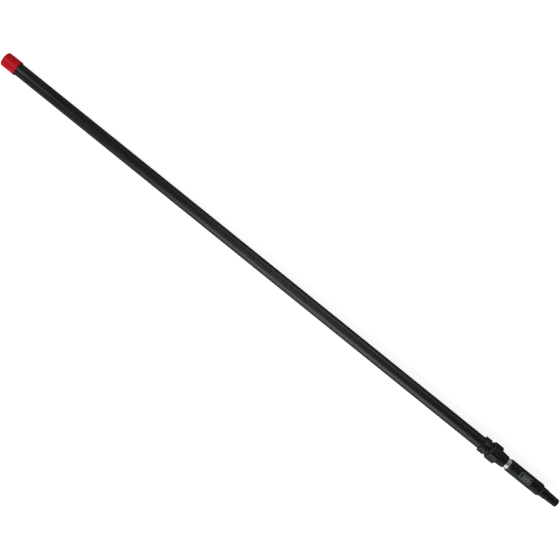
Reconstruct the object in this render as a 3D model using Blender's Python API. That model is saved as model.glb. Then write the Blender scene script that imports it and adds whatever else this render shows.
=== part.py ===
"""Two-section twist-lock extension pole with a push-on locking cone.

The pole lies along +X with its butt end at -X, and its axis is at height AXIS_Z over the floor (z = 0).
Every length below is in millimetres and is measured along the pole from the butt face; M turns it into metres.
Angles round the pole are measured from straight up (+Z) towards +Y, before POLE_ROLL turns the pole as it lies.
Bodies: outer_pole (fixed), clamp_carrier (slides with the nut's screw travel), nut_axis (turns),
extend_carrier (slides out) and inner_axis (slides out with it and may turn in it).
"""

import math

import bmesh
import bpy
from mathutils import Matrix, Vector

M = 0.001

# ---- driving dimensions, mm -------------------------------------------------------------------
LENGTH = 1335.3            # collapsed, butt face to tip face
AXIS_Z = 17.30             # pole axis over the floor: the nut rests on the flat middle of one of its pads
POLE_ROLL = 6.0            # degrees, as it lies: everything but the nut is turned this far round the axis towards +Y
SEGMENTS = 48              # facets round every turned piece

OUTER_R, OUTER_BORE_R = 12.7, 11.6      # outer tube, 25.4 mm
OUTER_X0, OUTER_X1 = 3.2, 1168.4
INNER_R, INNER_BORE_R = 11.0, 9.9       # inner tube, 22 mm
INNER_X0, INNER_X1 = 84.4, 1258.0

CAP_LENGTH = 32.4
CAP_R_END, CAP_R_RIM, CAP_BORE_R = 14.35, 14.75, 13.0

RING_X0, RING_X1 = 1152.0, 1166.4       # fixed grip ring of the collar: three lobes, three valleys
LOBE_R, VALLEY_R = 16.4, 13.9
LOBE_SLANT = 3.2                        # how far the rear edge runs forward between a lobe and a valley
SOCKET_R = 13.0                                     # collar socket over the outer tube
GUIDE_BORE_R = 11.3                                 # collar bore round the inner tube
COLLAR_X1 = 1183.4

THREAD_PITCH = 4.0
THREAD_X0, THREAD_X1 = 1171.0, 1182.6
MALE_ROOT_R, MALE_CREST_R = 13.7, 14.5
FEMALE_ROOT_R, FEMALE_CREST_R = 15.3, 14.1

NUT_X0, NUT_X1 = 1170.2, 1210.6
PAD_ARC_R, PAD_MID_R = 25.0, 17.7955      # each pad is flatter than a circle round the axis
PAD_FLAT = 16.0                         # degrees either side of a pad's middle where it is quite flat
PAD_X1 = 1191.8
GROOVE_FLOOR_R = 16.7                   # of the three grooves between the pads
NOSE_R0, NOSE_R1 = 13.9, 12.7

CONE_X0, CONE_X1, CONE_R = 1218.0, 1297.0, 12.8
TIP_BASE_R0, TIP_BASE_R1, TIP_STEP_X = 9.9, 9.6, 1308.7
TIP_R0, TIP_R1 = 8.95, 8.05

GUIDE_X0, GUIDE_X1 = 24.0, 84.0         # bearing length of the lower guide, and so the least overlap
NUT_ROLL = -POLE_ROLL                   # degrees from the rest of the pole: one pad is flat on the floor
NOTCH_ROLL = 9.0                        # degrees: the latch notch is just off the top, towards +Y

PIN_R = 1.5


# ---- materials --------------------------------------------------------------------------------
def material(name, colour, roughness, metallic=0.0):
    made = bpy.data.materials.new(name)
    made.use_nodes = True
    shader = made.node_tree.nodes["Principled BSDF"]
    shader.inputs["Base Color"].default_value = (*colour, 1.0)
    shader.inputs["Roughness"].default_value = roughness
    shader.inputs["Metallic"].default_value = metallic
    return made


for old in list(bpy.data.objects):
    bpy.data.objects.remove(old, do_unlink=True)

BLACK_TUBE = material("black_tube", (0.02, 0.02, 0.021), 0.45, 0.2)
SILVER_TUBE = material("silver_tube", (0.72, 0.72, 0.73), 0.3, 1.0)
BLACK_NYLON = material("black_nylon", (0.015, 0.015, 0.016), 0.4)
RED_CAP = material("red_cap", (0.45, 0.008, 0.012), 0.45)
WHITE_ACETAL = material("white_acetal", (0.8, 0.8, 0.77), 0.4)
RUBBER = material("rubber", (0.02, 0.02, 0.02), 0.8)
FELT = material("felt", (0.25, 0.25, 0.24), 0.95)
STEEL = material("steel", (0.55, 0.55, 0.56), 0.3, 1.0)
LABEL = material("label", (0.03, 0.06, 0.06), 0.35)


# ---- frame: one empty per body, each on the pole's axis ----------------------------------------
def axis_empty(name, parent=None, roll=0.0):
    made = bpy.data.objects.new(name, None)
    bpy.context.scene.collection.objects.link(made)
    if parent is None:
        made.location = (-LENGTH / 2 * M, 0.0, AXIS_Z * M)
    else:
        made.parent = parent
    made.rotation_euler = (math.radians(-roll), 0.0, 0.0)
    return made


outer_pole = axis_empty("outer_pole", roll=POLE_ROLL)
clamp_carrier = axis_empty("clamp_carrier", outer_pole)
nut_axis = axis_empty("nut_axis", clamp_carrier, NUT_ROLL)
extend_carrier = axis_empty("extend_carrier", outer_pole)
inner_axis = axis_empty("inner_axis", extend_carrier)


def finish(name, bm, colour, parent, sharp=32.0):
    """Makes the mesh an object on its body's empty, in metres, shaded smooth with sharp edges kept."""
    bmesh.ops.remove_doubles(bm, verts=bm.verts, dist=1e-5)
    bmesh.ops.recalc_face_normals(bm, faces=bm.faces)
    if bm.calc_volume(signed=True) < 0:
        bmesh.ops.reverse_faces(bm, faces=bm.faces)
    bmesh.ops.scale(bm, vec=(M, M, M), verts=bm.verts)
    mesh = bpy.data.meshes.new(name)
    bm.to_mesh(mesh)
    bm.free()
    mesh.materials.append(colour)
    mesh.shade_smooth()
    mesh.set_sharp_from_angle(angle=math.radians(sharp))
    made = bpy.data.objects.new(name, mesh)
    bpy.context.scene.collection.objects.link(made)
    made.parent = parent
    return made


def as_cutter(obj):
    obj.hide_render = True
    obj.display_type = "WIRE"
    return obj


def cut(obj, cutter, label):
    made = obj.modifiers.new(label, "BOOLEAN")
    made.operation = "DIFFERENCE"
    made.object = cutter


def turned(name, profile, colour, parent, steps=SEGMENTS, sharp=32.0):
    """A ring or plug turned from a closed outline of (x, radius) points."""
    bm = bmesh.new()
    points = [bm.verts.new((x, 0.0, r)) for x, r in profile]
    on_axis = [r < 1e-6 for _, r in profile]
    edges = []
    for i in range(len(points)):
        j = (i + 1) % len(points)
        if not (on_axis[i] and on_axis[j]):
            edges.append(bm.edges.new((points[i], points[j])))
    bmesh.ops.spin(
        bm, geom=points + edges, cent=(0, 0, 0), axis=(1, 0, 0), dvec=(0, 0, 0),
        angle=2 * math.pi, steps=steps, use_merge=True, use_duplicate=False,
    )
    return finish(name, bm, colour, parent, sharp)


def lofted(name, rings, colour, parent, sharp=32.0):
    """A closed band skinned over rings of points, the last ring joined to the first."""
    bm = bmesh.new()
    made = [[bm.verts.new(p) for p in ring] for ring in rings]
    n = len(rings[0])
    for a, b in zip(made, made[1:] + made[:1]):
        for k in range(n):
            bm.faces.new((a[k], a[(k + 1) % n], b[(k + 1) % n], b[k]))
    return finish(name, bm, colour, parent, sharp)


def polar(x, angle, r):
    """A point at an angle from straight up towards +Y."""
    return (x, r * math.sin(angle), r * math.cos(angle))


def cross_pin(name, x, half_length, radius, colour, parent, steps=20, bore=0.0, angle=90.0):
    """A pin, plain or hollow, lying across the axis; its bevelled ends are flush with what it holds."""
    edge = 0.35
    outline = [(-half_length, radius - edge), (-half_length + edge, radius),
               (half_length - edge, radius), (half_length, radius - edge)]
    outline += [(half_length, bore), (-half_length, bore)]
    made = turned(name, outline, colour, parent, steps)
    turn = Matrix.Rotation(math.radians(-angle), 4, "X") @ Matrix.Rotation(math.radians(-90), 4, "Y")
    made.data.transform(Matrix.Translation((x * M, 0, 0)) @ turn)
    return made


def drill(name, x, low, high, radius, parent, steps=20, angle=90.0):
    """The cutter of a hole that runs from radius low to radius high at an angle round the pole."""
    outline = [(low, radius), (high, radius), (high, 0.0), (low, 0.0)]
    made = turned(name, outline, STEEL, parent, steps)
    turn = Matrix.Rotation(math.radians(-angle), 4, "X") @ Matrix.Rotation(math.radians(-90), 4, "Y")
    made.data.transform(Matrix.Translation((x * M, 0, 0)) @ turn)
    return as_cutter(made)


def arc(cx, cr, radius, start, end, steps):
    """Points (x, r) on an arc, angles in degrees from +x towards +r."""
    return [
        (cx + radius * math.cos(math.radians(start + (end - start) * k / steps)),
         cr + radius * math.sin(math.radians(start + (end - start) * k / steps)))
        for k in range(steps + 1)
    ]


# ---- fixed pieces: outer tube, butt cap, buffer, collar ------------------------------------------
outer_tube = turned(
    "outer_tube",
    [(OUTER_X0, OUTER_BORE_R), (OUTER_X0, OUTER_R), (OUTER_X1, OUTER_R), (OUTER_X1, OUTER_BORE_R)],
    BLACK_TUBE, outer_pole,
)

# a soft cup pushed over the butt: flat end, rounded corner, slight draft, small lead-in at the rim
end_cap = turned(
    "end_cap",
    [(0.0, 0.0)]
    + arc(3.2, CAP_R_END - 3.2, 3.2, 180, 90, 6)
    + [(CAP_LENGTH - 1.9, CAP_R_RIM), (CAP_LENGTH - 0.9, CAP_R_RIM - 0.3), (CAP_LENGTH - 0.2, CAP_R_RIM - 0.95),
       (CAP_LENGTH, CAP_BORE_R + 0.45),
       (CAP_LENGTH - 0.6, CAP_BORE_R), (2.9, CAP_BORE_R), (2.9, 0.0)],
    RED_CAP, outer_pole,
)

# a hollow rubber buffer inside the butt, which the inner section lands on
bump_stop = turned(
    "bump_stop",
    [(4.0, 5.0), (4.0, 11.3), (16.0, 11.3), (18.0, 10.4), (23.2, 10.0), (23.7, 9.5), (23.7, 5.0)],
    RUBBER, outer_pole, 36,
)


# a hard ring at the mouth of the outer tube: it guides the inner tube and is what the lower guide lands on
stop_ring = turned(
    "stop_ring",
    [(1168.7, 11.65), (1168.7, 12.7), (1172.1, 12.7), (1172.1, 11.35), (1171.8, 11.2), (1169.1, 11.2), (1168.8, 11.35)],
    WHITE_ACETAL, outer_pole,
)


def thread_radius(x, angle, root, crest, phase):
    """Radius of a right-hand trapezoidal thread at a place; it fades out towards both ends of its run."""
    turns = (x - THREAD_X0) / THREAD_PITCH + angle / (2 * math.pi) + phase
    t = abs(turns - math.floor(turns) - 0.5) * 2          # 1 at the middle of the root, 0 at the crest
    share = min(1.0, max(0.0, (0.58 - t) / 0.26))
    fade = min(1.0, max(0.0, (x - THREAD_X0) / 1.4), max(0.0, (THREAD_X1 - x) / 1.4))
    return root + (crest - root) * share * fade


def even(n):
    return [2 * math.pi * k / n for k in range(n)]


def circle_ring(x, r, angles):
    return [polar(x, a, r) for a in angles]


THREAD_ROWS = [THREAD_X0 + (THREAD_X1 - THREAD_X0) * k / 22 for k in range(23)]
LOBE_SECTOR = [0.0, 9.0, 14.0, 16.5, 19.0, 23.0, 31.0, 40.0, 50.0, 60.0, 70.0, 80.0, 89.0, 97.0, 101.0, 103.5, 106.0, 111.0]
angles = [math.radians(120.0 * n + a) for n in range(3) for a in LOBE_SECTOR]


def from_valley(angle):
    """Degrees from the middle of the nearest valley, which are at 0, 120 and 240."""
    off = math.degrees(angle) % 120.0
    return min(off, 120.0 - off)


def lobe_share(angle):
    """0 in a valley, 1 on a lobe, with a rounded flank between."""
    t = min(1.0, max(0.0, (from_valley(angle) - 14.0) / 9.0))
    return t * t * (3 - 2 * t)


def ring_row(x, lobe_r, valley_r, slant=0.0):
    """A row of the grip ring. Its rear rows run forward on the way from a lobe into a valley."""
    row = []
    for a in angles:
        forward = slant * (1.0 - min(1.0, max(0.0, (from_valley(a) - 12.0) / 26.0)))
        row.append(polar(x + forward, a, valley_r + (lobe_r - valley_r) * lobe_share(a)))
    return row


rings = [
    ring_row(RING_X0, SOCKET_R + 0.5, SOCKET_R + 0.4, LOBE_SLANT),
    ring_row(RING_X0, LOBE_R - 1.2, VALLEY_R - 0.3, LOBE_SLANT),
    ring_row(RING_X0 + 0.4, LOBE_R - 0.5, VALLEY_R - 0.1, LOBE_SLANT),
    ring_row(RING_X0 + 1.2, LOBE_R, VALLEY_R, LOBE_SLANT),
    ring_row(RING_X1 - 1.0, LOBE_R, VALLEY_R),
    ring_row(RING_X1 - 0.3, LOBE_R - 0.4, VALLEY_R - 0.1),
    ring_row(RING_X1, LOBE_R - 1.1, VALLEY_R - 0.2),
    circle_ring(RING_X1 + 0.2, MALE_ROOT_R, angles),
    circle_ring(THREAD_X0 - 0.4, MALE_ROOT_R, angles),
]
rings += [[polar(x, a, thread_radius(x, a, MALE_ROOT_R, MALE_CREST_R, 0.0)) for a in angles] for x in THREAD_ROWS]
rings += [circle_ring(x, r, angles) for x, r in (
    (COLLAR_X1, MALE_ROOT_R - 0.6), (COLLAR_X1, GUIDE_BORE_R + 0.4), (COLLAR_X1 - 0.4, GUIDE_BORE_R),
    (1172.7, GUIDE_BORE_R), (1172.4, GUIDE_BORE_R + 0.3), (1172.4, SOCKET_R),
)]
rings += [ring_row(RING_X0 + 0.5, SOCKET_R, SOCKET_R, LOBE_SLANT)]
collar_body = lofted("collar_body", rings, BLACK_NYLON, outer_pole)

# two flush rivets hold the collar to the outer tube, both on its lower lobe
RIVET_X = 1160.4
for side, at in (("left", 156.0), ("right", -156.0)):
    hole = drill("rivet_hole_" + side, RIVET_X, 10.0, 18.0, PIN_R + 0.15, outer_pole, angle=at)
    sink = turned("rivet_sink_" + side, [(15.05, 0.0), (15.05, 1.2), (17.4, 3.55), (17.4, 0.0)], STEEL, outer_pole, 20)
    sink.data.transform(
        Matrix.Translation((RIVET_X * M, 0, 0))
        @ Matrix.Rotation(math.radians(-at), 4, "X") @ Matrix.Rotation(math.radians(-90), 4, "Y")
    )
    as_cutter(sink)
    cut(collar_body, hole, "rivet hole")
    cut(collar_body, sink, "countersink")
    cut(outer_tube, hole, "rivet hole")
    rivet = turned(
        "collar_rivet_" + side,
        [(11.75, 0.0), (11.75, 1.2), (12.0, 1.42), (15.12, 1.42), (16.0, 2.0), (16.15, 1.9), (16.2, 0.0)],
        STEEL, outer_pole, 20,
    )
    rivet.data.transform(
        Matrix.Translation((RIVET_X * M, 0, 0))
        @ Matrix.Rotation(math.radians(-at), 4, "X") @ Matrix.Rotation(math.radians(-90), 4, "Y")
    )


# ---- clamp: slip washer and split collet ---------------------------------------------------------
slip_washer = turned(
    "slip_washer", [(1183.8, 11.4), (1183.8, 13.7), (1185.0, 13.7), (1185.0, 11.4)], WHITE_ACETAL, clamp_carrier,
)
collet = turned(
    "collet",
    [(1185.4, 11.3), (1185.4, 13.4), (1185.9, 13.9), (1187.2, 13.9), (1196.2, 12.5), (1196.6, 12.1), (1196.6, 11.3)],
    WHITE_ACETAL, clamp_carrier,
)


def block(name, x0, x1, y0, y1, z0, z1, parent, bevel=0.0):
    bm = bmesh.new()
    bmesh.ops.create_cube(bm, size=1.0)
    bmesh.ops.scale(bm, vec=(x1 - x0, y1 - y0, z1 - z0), verts=bm.verts)
    bmesh.ops.translate(bm, vec=((x0 + x1) / 2, (y0 + y1) / 2, (z0 + z1) / 2), verts=bm.verts)
    if bevel:
        bmesh.ops.bevel(bm, geom=list(bm.edges), offset=bevel, segments=1, affect="EDGES")
    return as_cutter(finish(name, bm, STEEL, parent))


# one slot right through lets the collet close, and five shorter ones make its fingers springy
cut(collet, block("collet_split", 1184.0, 1198.0, -1.1, 1.1, 9.0, 16.0, clamp_carrier), "split")
for k in range(1, 6):
    slot = block("collet_slot_%d" % k, 1189.4, 1198.0, -0.6, 0.6, 9.0, 16.0, clamp_carrier)
    slot.data.transform(Matrix.Rotation(math.radians(60 * k), 4, "X"))
    cut(collet, slot, "slot %d" % k)


# ---- lock nut: three flat-crowned pads, grooves between them, and a tapered nose -----------------
def pad_radius(angle):
    """Outer radius of the padded part of the nut. Grooves are at 0, 120 and 240 degrees."""
    off = (math.degrees(angle) % 120.0) - 60.0            # from the middle of the pad
    if abs(off) < PAD_FLAT:                               # the flat, as a straight line across
        edge_r = pad_radius(math.radians(60.0 + PAD_FLAT))
        return edge_r * math.cos(math.radians(PAD_FLAT)) / math.cos(math.radians(off))
    rel = math.radians(off)
    offset = PAD_ARC_R - PAD_MID_R
    r = -offset * math.cos(rel) + math.sqrt(PAD_ARC_R**2 - (offset * math.sin(rel)) ** 2)
    edge = abs(off)
    if edge > 50.0:                                       # rounded shoulder, then the groove wall
        r -= 0.55 * ((min(edge, 55.0) - 50.0) / 5.0) ** 2
    if edge > 55.0:
        r += (GROOVE_FLOOR_R - r) * min(1.0, (edge - 55.0) / 1.8)
    return r


SECTOR = [0.0, 3.2, 5.0, 7.4, 10.0, 16.0, 24.0, 32.0, 38.0, 60.0 - PAD_FLAT, 52.0, 60.0, 68.0, 60.0 + PAD_FLAT, 82.0, 88.0, 96.0, 104.0, 110.0, 112.6, 115.0, 116.8]
nut_angles = [math.radians(120.0 * s + a) for s in range(3) for a in SECTOR]


def nut_ring(x, limit):
    """A ring of the padded part, cut down to a cone of radius limit."""
    return [polar(x, a, min(pad_radius(a), limit)) for a in nut_angles]


rings = [circle_ring(NUT_X0, 14.4, nut_angles), nut_ring(NUT_X0, 15.0)]
rings += [nut_ring(NUT_X0 + d, 15.0 + 0.88 * d) for d in (1.2, 2.1, 3.1, 4.2, 5.4, 6.6)]
rings += [nut_ring(PAD_X1 - 0.9, 30.0), nut_ring(PAD_X1 - 0.25, 19.25), nut_ring(PAD_X1, 18.3)]
rings += [circle_ring(x, r, nut_angles) for x, r in (
    (PAD_X1 + 0.35, NOSE_R0 + 0.35), (PAD_X1 + 0.9, NOSE_R0), (1206.6, NOSE_R1),
    (1208.6, NOSE_R1 - 0.3), (1209.9, NOSE_R1 - 0.7), (NUT_X1, NOSE_R1 - 1.05), (NUT_X1 - 0.3, 11.45),
    (1203.6, 11.45), (1203.4, 12.35), (1199.0, 12.35), (1198.8, 11.7), (1197.0, 11.7), (1196.8, 12.85),
    (1186.6, 14.35), (1183.6, 14.45),
)]
rings += [
    [polar(x, a, thread_radius(x, a + math.radians(NUT_ROLL), FEMALE_ROOT_R, FEMALE_CREST_R, 0.5)) for a in nut_angles]
    for x in reversed(THREAD_ROWS)
]
rings += [circle_ring(NUT_X0 + 0.4, 14.9, nut_angles)]
lock_nut = lofted("lock_nut", rings, BLACK_NYLON, nut_axis, 28.0)

wiper_ring = turned(
    "wiper_ring", [(1199.35, 11.3), (1199.35, 12.05), (1203.05, 12.05), (1203.05, 11.3)], FELT, nut_axis,
)


# ---- sliding pieces: inner tube, its lower guide and the locking cone ----------------------------
GUIDE_GROOVES = (28.0, 77.0)
for label, x in zip(("rear", "front"), GUIDE_GROOVES):
    turned(
        "guide_ring_" + label,
        [(x + 0.35, 10.7), (x + 0.35, 11.3), (x + 0.6, 11.5), (x + 2.4, 11.5), (x + 2.65, 11.3), (x + 2.65, 10.7)],
        RUBBER, extend_carrier,
    )

inner_tube = turned(
    "inner_tube",
    [(INNER_X0, INNER_BORE_R), (INNER_X0, INNER_R), (INNER_X1, INNER_R), (INNER_X1, INNER_BORE_R)],
    SILVER_TUBE, inner_axis,
)
outline = [(GUIDE_X0, 7.0), (GUIDE_X0, 11.0), (GUIDE_X0 + 0.4, 11.42)]
for x in GUIDE_GROOVES:
    outline += [(x, 11.42), (x, 10.4), (x + 3.0, 10.4), (x + 3.0, 11.42)]
outline += [(GUIDE_X1 - 0.4, 11.42), (GUIDE_X1, 11.0), (GUIDE_X1, 9.65), (113.5, 9.65), (115.0, 9.1), (115.0, 7.0)]
tube_guide = turned("tube_guide", outline, BLACK_NYLON, inner_axis)
GUIDE_PIN_X = 100.0
guide_hole = drill("guide_pin_hole", GUIDE_PIN_X, -14.0, 14.0, 1.4, inner_axis)
cut(inner_tube, guide_hole, "guide pin hole")
cut(tube_guide, guide_hole, "guide pin hole")
guide_pin = cross_pin("guide_pin", GUIDE_PIN_X, 10.85, 1.25, STEEL, inner_axis, bore=0.6)

# the sleeve of the cone: socket over the inner tube, then a narrower bore round the core
cone_body = turned(
    "cone_body",
    [(CONE_X0, 11.6), (CONE_X0, CONE_R - 0.6), (CONE_X0 + 0.6, CONE_R), (CONE_X1 - 4.6, CONE_R),
     (CONE_X1 - 3.9, CONE_R - 0.25), (CONE_X1 - 0.35, 10.75), (CONE_X1, 10.45), (CONE_X1, 10.2),
     (INNER_X1 + 0.4, 10.2), (INNER_X1 + 0.4, 11.3), (CONE_X0 + 0.4, 11.3)],
    BLACK_NYLON, inner_axis,
)

# the core: a hollow spigot inside the tube and sleeve, ending in the stepped, tapered tip
cone_nose = turned(
    "cone_nose",
    [(1222.0, 6.2), (1222.0, 9.2), (1223.0, 9.6), (1259.6, 9.6), (1260.6, TIP_BASE_R0), (CONE_X1, TIP_BASE_R0),
     (TIP_STEP_X - 0.5, TIP_BASE_R1), (TIP_STEP_X, TIP_BASE_R1 - 0.3), (TIP_STEP_X + 0.9, TIP_R0)]
    + [(LENGTH - 2.4, TIP_R1)]
    + arc(LENGTH - 1.5, TIP_R1 - 1.45, 1.5, 62, 0, 4)
    + [(LENGTH, 0.0), (1318.0, 0.0), (1314.0, 5.4), (1312.0, 6.0)],
    BLACK_NYLON, inner_axis,
)
REAR_PIN_X, FRONT_PIN_X = 1240.0, 1284.0
for label, x in (("rear", REAR_PIN_X), ("front", FRONT_PIN_X)):
    hole = drill("cone_pin_hole_" + label, x, -16.0, 16.0, PIN_R + 0.15, inner_axis)
    cut(cone_body, hole, "pin hole " + label)
    cut(cone_nose, hole, "pin hole " + label)
    if label == "rear":
        cut(inner_tube, hole, "cone pin hole")
    cross_pin("cone_pin_" + label, x, 12.55, PIN_R, STEEL, inner_axis, bore=0.75)

# a notch in the core, where the spring button of a pushed-on tool drops in
notch = block("latch_notch", 1300.8, 1307.4, -2.4, 2.4, 7.9, 12.0, inner_axis)
notch.data.transform(Matrix.Rotation(math.radians(-NOTCH_ROLL), 4, "X"))
cut(cone_nose, notch, "latch notch")

# shallow seat for the label, and the label itself, a thin plate bent round the sleeve
LABEL_X0, LABEL_X1, LABEL_HALF = 1242.4, 1269.6, 36.0


def bent_plate(name, x0, x1, half, low, high, corner, colour, parent):
    """A plate with rounded corners that follows the sleeve, between radii low and high."""
    outline = []
    reach = math.radians(half) * high
    for cx, cy, start in ((x1 - corner, reach - corner, 0), (x0 + corner, reach - corner, 90),
                          (x0 + corner, -reach + corner, 180), (x1 - corner, -reach + corner, 270)):
        for k in range(4):
            t = math.radians(start + 30 * k)
            outline.append((cx + corner * math.cos(t), cy + corner * math.sin(t)))
    bm = bmesh.new()
    rows = 12
    grid = {}
    for i in range(rows + 1):
        w = reach * (-1 + 2 * i / rows)
        inset = 0.0
        if abs(w) > reach - corner:
            inset = corner - math.sqrt(max(0.0, corner**2 - (abs(w) - reach + corner) ** 2))
        for side, r in (("low", low), ("high", high)):
            for end, x in (("a", x0 + inset), ("b", x1 - inset)):
                grid[i, side, end] = bm.verts.new(polar(x, w / high, r))
    for i in range(rows):
        bm.faces.new([grid[i, "high", "a"], grid[i, "high", "b"], grid[i + 1, "high", "b"], grid[i + 1, "high", "a"]])
        bm.faces.new([grid[i, "low", "b"], grid[i, "low", "a"], grid[i + 1, "low", "a"], grid[i + 1, "low", "b"]])
        bm.faces.new([grid[i, "low", "a"], grid[i, "high", "a"], grid[i + 1, "high", "a"], grid[i + 1, "low", "a"]])
        bm.faces.new([grid[i, "high", "b"], grid[i, "low", "b"], grid[i + 1, "low", "b"], grid[i + 1, "high", "b"]])
    for i in (0, rows):
        bm.faces.new([grid[i, "low", "a"], grid[i, "low", "b"], grid[i, "high", "b"], grid[i, "high", "a"]])
    return finish(name, bm, colour, parent)


seat = as_cutter(bent_plate("label_seat", LABEL_X0, LABEL_X1, LABEL_HALF, CONE_R - 0.55, CONE_R + 1.2, 3.2, STEEL, inner_axis))
cut(cone_body, seat, "label seat")
cone_label = bent_plate(
    "cone_label", LABEL_X0 + 0.35, LABEL_X1 - 0.35, LABEL_HALF - 1.7, CONE_R - 0.42, CONE_R - 0.12, 2.9, LABEL, inner_axis
)
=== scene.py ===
"""Looks of the two-section extension pole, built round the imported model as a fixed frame.

Lengths in the outlines are in millimetres along the pole from the butt face, and out from its axis.
Angles round the pole are in degrees from straight up (+Z) towards +Y.
"""

import math

import bmesh
import bpy
import numpy as np
from mathutils import Matrix, Vector


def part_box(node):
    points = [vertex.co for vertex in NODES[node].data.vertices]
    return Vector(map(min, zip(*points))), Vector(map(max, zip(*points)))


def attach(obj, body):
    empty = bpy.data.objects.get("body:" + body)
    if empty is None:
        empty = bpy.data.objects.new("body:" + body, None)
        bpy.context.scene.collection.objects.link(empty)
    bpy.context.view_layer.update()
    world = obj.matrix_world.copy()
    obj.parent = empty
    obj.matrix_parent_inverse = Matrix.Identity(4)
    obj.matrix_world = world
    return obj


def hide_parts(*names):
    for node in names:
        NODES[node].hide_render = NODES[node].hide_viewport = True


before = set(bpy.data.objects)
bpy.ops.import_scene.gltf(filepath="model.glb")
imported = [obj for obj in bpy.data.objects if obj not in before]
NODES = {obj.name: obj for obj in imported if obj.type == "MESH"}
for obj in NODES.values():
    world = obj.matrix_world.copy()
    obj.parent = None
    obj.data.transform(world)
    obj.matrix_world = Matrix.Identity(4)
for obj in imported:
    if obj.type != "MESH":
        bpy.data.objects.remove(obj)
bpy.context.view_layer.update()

MM = 0.001
BUTT_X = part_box("end_cap")[0].x
TIP_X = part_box("cone_nose")[1].x
AXIS_Z = (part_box("outer_tube")[0].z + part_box("outer_tube")[1].z) / 2


# ================================================================ node helpers
class Graph:
    """A material's node tree, with short ways to add what the finishes below are made of."""

    def __init__(self, name):
        self.material = bpy.data.materials.new(name)
        self.material.use_nodes = True
        self.tree = self.material.node_tree
        self.shader = self.tree.nodes["Principled BSDF"]
        self._coords = None

    def node(self, kind, **settings):
        made = self.tree.nodes.new(kind)
        for key, value in settings.items():
            setattr(made, key, value)
        return made

    def link(self, a, b):
        self.tree.links.new(a, b)

    def set(self, **values):
        for key, value in values.items():
            self.shader.inputs[key.replace("_", " ")].default_value = value

    def coords(self):
        if self._coords is None:
            self._coords = self.node("ShaderNodeTexCoord").outputs["Object"]
        return self._coords

    def stretched(self, scale):
        mapping = self.node("ShaderNodeMapping")
        mapping.inputs["Scale"].default_value = scale
        self.link(self.coords(), mapping.inputs["Vector"])
        return mapping.outputs["Vector"]

    def noise(self, scale, detail=3.0, rough=0.5, stretch=None, distortion=0.0):
        made = self.node("ShaderNodeTexNoise")
        made.inputs["Scale"].default_value = scale
        made.inputs["Detail"].default_value = detail
        made.inputs["Roughness"].default_value = rough
        made.inputs["Distortion"].default_value = distortion
        self.link(self.stretched(stretch) if stretch else self.coords(), made.inputs["Vector"])
        return made.outputs["Fac"]

    def cells(self, scale, feature="F1", stretch=None, randomness=1.0):
        made = self.node("ShaderNodeTexVoronoi", feature=feature)
        made.inputs["Scale"].default_value = scale
        made.inputs["Randomness"].default_value = randomness
        self.link(self.stretched(stretch) if stretch else self.coords(), made.inputs["Vector"])
        return made.outputs["Distance"]

    def maths(self, how, a, b=None, clamp=False):
        made = self.node("ShaderNodeMath", operation=how, use_clamp=clamp)
        for socket, value in zip(made.inputs, (a, b)):
            if value is None:
                continue
            if isinstance(value, (int, float)):
                socket.default_value = value
            else:
                self.link(value, socket)
        return made.outputs[0]

    def span(self, value, low, high, to_low=0.0, to_high=1.0):
        made = self.node("ShaderNodeMapRange", clamp=True)
        made.interpolation_type = "SMOOTHSTEP"
        self.link(value, made.inputs["Value"])
        for key, number in (("From Min", low), ("From Max", high), ("To Min", to_low), ("To Max", to_high)):
            made.inputs[key].default_value = number
        return made.outputs["Result"]

    def blend(self, share, a, b):
        """A colour between a and b; each is a colour or a socket."""
        made = self.node("ShaderNodeMix", data_type="RGBA")
        if isinstance(share, (int, float)):
            made.inputs[0].default_value = share
        else:
            self.link(share, made.inputs[0])
        for socket, value in ((made.inputs[6], a), (made.inputs[7], b)):
            if isinstance(value, tuple):
                socket.default_value = (*value, 1.0) if len(value) == 3 else value
            else:
                self.link(value, socket)
        return made.outputs[2]

    def attribute(self, name):
        made = self.node("ShaderNodeAttribute", attribute_name=name)
        return made.outputs["Fac"]

    def bump(self, height, distance, strength=1.0, under=None):
        made = self.node("ShaderNodeBump")
        made.inputs["Distance"].default_value = distance
        made.inputs["Strength"].default_value = strength
        self.link(height, made.inputs["Height"])
        if under is not None:
            self.link(under, made.inputs["Normal"])
        return made.outputs["Normal"]

    def out(self, colour=None, roughness=None, normal=None, metallic=None):
        for key, value in (("Base Color", colour), ("Roughness", roughness), ("Normal", normal), ("Metallic", metallic)):
            if value is not None:
                self.link(value, self.shader.inputs[key])
        return self.material


# ================================================================ finishes
def powder_coat():
    """Satin black powder coat on drawn tube: fine orange peel, faint lengthwise rub marks, a little dust."""
    g = Graph("powder_coat_black")
    peel = g.noise(1500.0, 2.0, 0.45)
    fine = g.noise(6500.0, 2.0, 0.5)
    drawn = g.noise(1.0, 2.0, 0.6, stretch=(5.0, 900.0, 900.0))
    rub = g.noise(1.0, 4.0, 0.65, stretch=(9.0, 260.0, 260.0), distortion=0.3)
    cloud = g.noise(26.0, 3.0, 0.55)
    rubbed = g.span(rub, 0.60, 0.78)
    wear = g.maths("MULTIPLY", g.attribute("wear"), g.span(g.noise(900.0, 3.0), 0.42, 0.62))
    colour = g.blend(g.span(cloud, 0.3, 0.7), (0.0050, 0.0050, 0.0053), (0.0080, 0.0080, 0.0084))
    colour = g.blend(g.maths("MULTIPLY", rubbed, 0.22), colour, (0.022, 0.022, 0.023))
    colour = g.blend(g.maths("MULTIPLY", wear, 0.55), colour, (0.20, 0.20, 0.205))
    rough = g.maths("ADD", g.span(cloud, 0.25, 0.75, 0.32, 0.38), g.maths("MULTIPLY", rubbed, 0.08))
    rough = g.maths("ADD", rough, g.span(drawn, 0.35, 0.65, -0.02, 0.02))
    normal = g.bump(g.maths("ADD", peel, g.maths("MULTIPLY", fine, 0.25)), 0.000035, 0.55)
    normal = g.bump(drawn, 0.00002, 0.25, under=normal)
    g.set(Specular_IOR_Level=0.5)
    return g.out(colour, rough, normal)


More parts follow.
